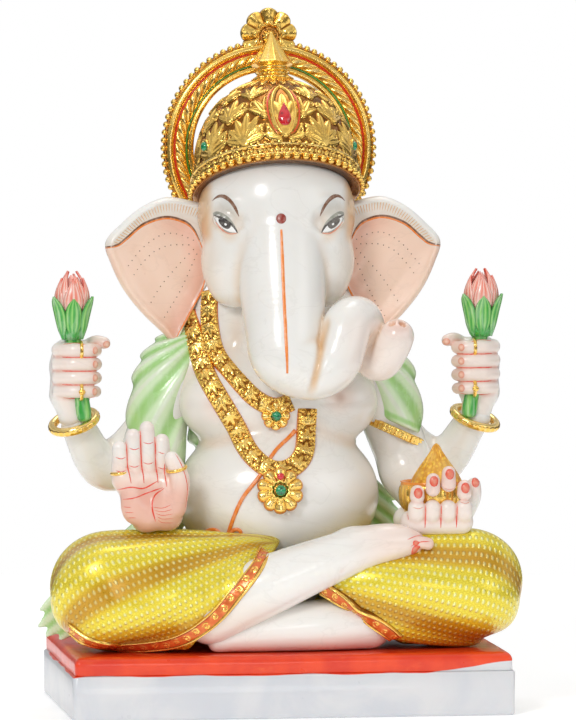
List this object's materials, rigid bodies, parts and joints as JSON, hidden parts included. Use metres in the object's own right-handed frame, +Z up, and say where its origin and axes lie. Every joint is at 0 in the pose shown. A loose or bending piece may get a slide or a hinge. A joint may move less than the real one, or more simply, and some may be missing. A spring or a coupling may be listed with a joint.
{
  "type": "ganesha idol",
  "caption": "Seated elephant-headed deity figure in painted, gilded white marble, with raised blessing hand, sweet in the other, lotus buds, crown and halo, on a rectangular plinth.",
  "frame": {"origin": "centre of the plinth's underside, which is the face the idol stands on", "axes": "+Z up through the figure, the idol faces -Y, and -X is the side of its own right hand"},
  "size_m": [0.2122, 0.1215, 0.3009],
  "materials": {
    "marble": "polished white marble",
    "blushed_marble": "polished white marble, tinted pink inside the ear",
    "red_enamel": "glossy orange-red paint on marble",
    "yellow_enamel": "metallic yellow paint on marble",
    "green_enamel": "soft green paint on marble",
    "petal_enamel": "pink and red paint on marble",
    "leaf_enamel": "green paint on marble",
    "orange_enamel": "orange paint on a raised carved cord",
    "modak_enamel": "golden-orange paint on marble",
    "gold_leaf": "gold leaf on carved marble",
    "green_glass": "cut glass stone",
    "red_glass": "cut glass stone",
    "dowel_steel": "plain stainless rod"
  },
  "bodies": {
    "root": {"plinth_block": "marble", "seat_slab": "red_enamel", "torso": "marble", "head": "marble", "trunk": "marble", "right_ear": "blushed_marble", "left_ear": "blushed_marble", "dhoti_waist": "yellow_enamel", "dhoti_right_leg": "yellow_enamel", "dhoti_left_leg": "yellow_enamel", "dhoti_right_hem": "gold_leaf", "dhoti_left_hem": "gold_leaf", "right_shin_and_foot": "marble", "left_shin_and_foot": "marble", "rear_right_arm": "marble", "rear_left_arm": "marble", "rear_right_hand": "marble", "rear_left_hand": "marble", "front_right_arm": "marble", "front_left_arm": "marble", "blessing_hand": "marble", "offering_hand": "marble", "shawl_right": "green_enamel", "shawl_left": "green_enamel", "shawl_back": "green_enamel", "shawl_tail_right": "green_enamel", "shawl_tail_left": "green_enamel", "modak": "modak_enamel", "modak_cup": "gold_leaf", "lotus_right_petals": "petal_enamel", "lotus_left_petals": "petal_enamel", "lotus_right_sepals": "leaf_enamel", "lotus_left_sepals": "leaf_enamel", "lotus_right_stem": "leaf_enamel", "lotus_left_stem": "leaf_enamel", "bangle_rear_right": "gold_leaf", "bangle_rear_left": "gold_leaf", "bangle_front_right": "gold_leaf", "armlet_left": "gold_leaf", "finger_rings": "gold_leaf", "necklace_short": "gold_leaf", "necklace_long": "gold_leaf", "pendant_short": "gold_leaf", "pendant_long": "gold_leaf", "sacred_thread": "orange_enamel", "crown_band": "gold_leaf", "crown_dome": "gold_leaf", "crown_finial": "gold_leaf", "crown_bead_row": "gold_leaf", "halo_ring": "gold_leaf", "halo_crest": "gold_leaf", "green_stones": "green_glass", "red_stones": "red_glass", "arm_dowels": "dowel_steel", "neck_dowel": "dowel_steel", "halo_dowels": "dowel_steel", "seat_dowels": "dowel_steel"}
  },
  "joints": []
}
